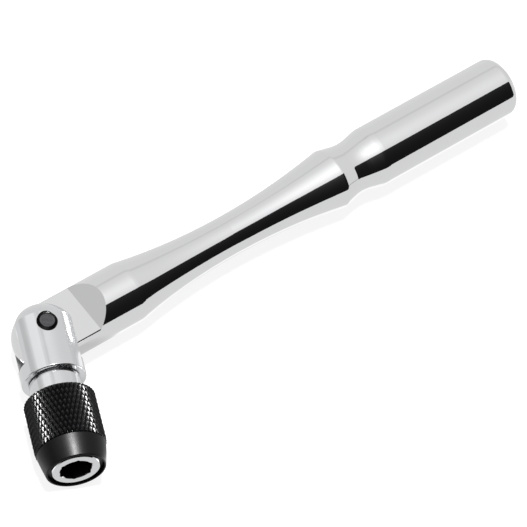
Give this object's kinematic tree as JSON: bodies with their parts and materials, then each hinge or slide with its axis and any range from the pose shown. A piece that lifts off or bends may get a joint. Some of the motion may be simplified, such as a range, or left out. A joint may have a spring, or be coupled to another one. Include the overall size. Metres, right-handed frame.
{
  "type": "folding-head bit spinner handle",
  "caption": "Slim turned bar with a waist and a neck, and a friction-held folding head that ends in a hexagon bit socket with a knurled locking sleeve.",
  "frame": {"origin": "centre of the bit socket's mouth, on the end face of the barrel", "axes": "-Y along the head's axis, the way a bit leaves the socket; +Z parallel to the hinge pin; the handle lies in the XY plane, 24 degrees from +X towards +Y"},
  "size_m": [0.1226, 0.0878, 0.015],
  "materials": {
    "polished_chrome": "mirror polished",
    "satin_chrome": "bright",
    "plain_steel": "plain",
    "magnet_plating": "nickel plated",
    "dark_steel": "blackened",
    "black_oxide": "black oxide, lightly oiled"
  },
  "bodies": {
    "handle": {"handle": "polished_chrome"},
    "head": {"head_body": "satin_chrome", "hinge_pin": "dark_steel", "drag_ball": "plain_steel", "drag_spring": "plain_steel", "drag_plug": "plain_steel", "bit_magnet": "magnet_plating", "spring_seat": "plain_steel", "sleeve_spring": "plain_steel", "retaining_ring": "dark_steel"},
    "sleeve_carrier": {"thrust_washer": "plain_steel"},
    "sleeve": {"sleeve": "black_oxide"},
    "lock_ball": {"lock_ball": "plain_steel"}
  },
  "joints": [
    {"name": "head_fold", "type": "hinge", "parent": "handle", "child": "head", "pos_m": [0, 0.03175, 0], "axis": [0, 0, 1], "range_deg": [-156, 24]},
    {"name": "sleeve_slide", "type": "slide", "parent": "head", "child": "sleeve_carrier", "axis": [0, 1, 0], "range_m": [0, 0.003], "stiffness_N_per_m": 1000, "springref_m": -0.003, "deforming": ["sleeve_spring"]},
    {"name": "sleeve_spin", "type": "hinge", "parent": "sleeve_carrier", "child": "sleeve", "pos_m": [0, 0.0082, 0], "axis": [0, 1, 0], "continuous": true},
    {"name": "lock_ball_lift", "type": "slide", "parent": "head", "child": "lock_ball", "axis": [0, 0, 1], "range_m": [0, 0.0006]}
  ],
  "couplings": [
    {"joint": "lock_ball_lift", "follows": "sleeve_slide", "ratio": 0.2}
  ]
}
